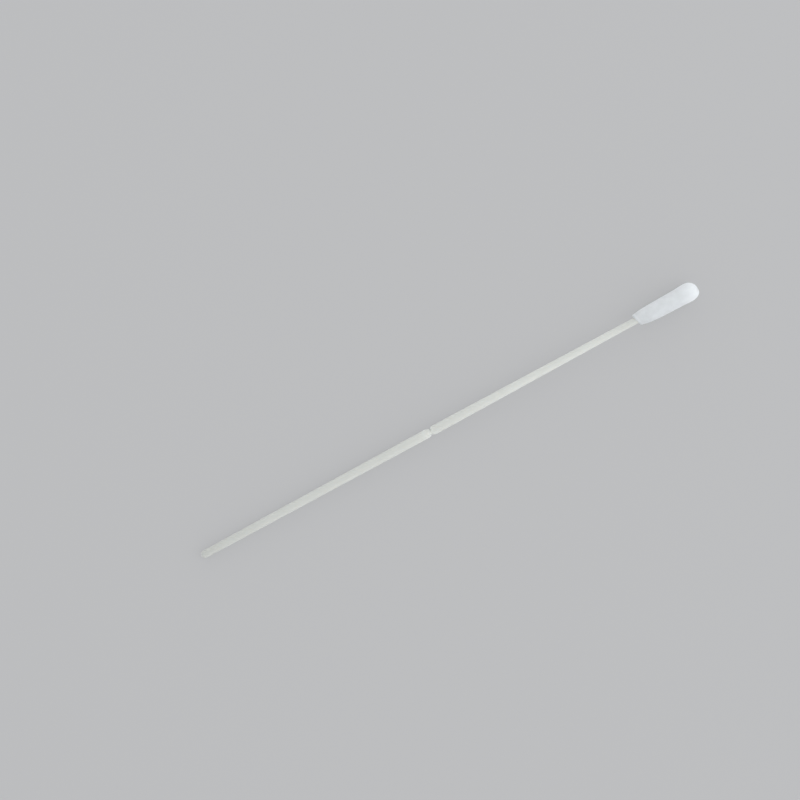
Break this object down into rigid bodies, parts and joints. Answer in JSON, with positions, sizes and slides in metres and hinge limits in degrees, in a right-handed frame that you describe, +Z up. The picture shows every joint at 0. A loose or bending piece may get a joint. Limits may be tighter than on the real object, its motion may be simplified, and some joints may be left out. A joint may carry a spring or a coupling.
{
  "type": "flocked specimen swab",
  "caption": "Flocked specimen swab: a slim round plastic handle with a rounded tail and a moulded neck where it snaps, and a blunt coat of upright white fibres on its far end to take up a sample.",
  "frame": {"origin": "on the surface that the swab lies on, under the middle of its length", "axes": "+X along the swab from the tail of the handle to the flocked tip, +Z up, +Y across"},
  "size_m": [0.15, 0.0052, 0.0051],
  "materials": {
    "handle_plastic": "satin, milky white moulded plastic",
    "flock_fibre": "velvety, short upright white fibres"
  },
  "bodies": {
    "root": {"swab_handle": "handle_plastic", "flocked_tip": "flock_fibre"}
  },
  "joints": []
}
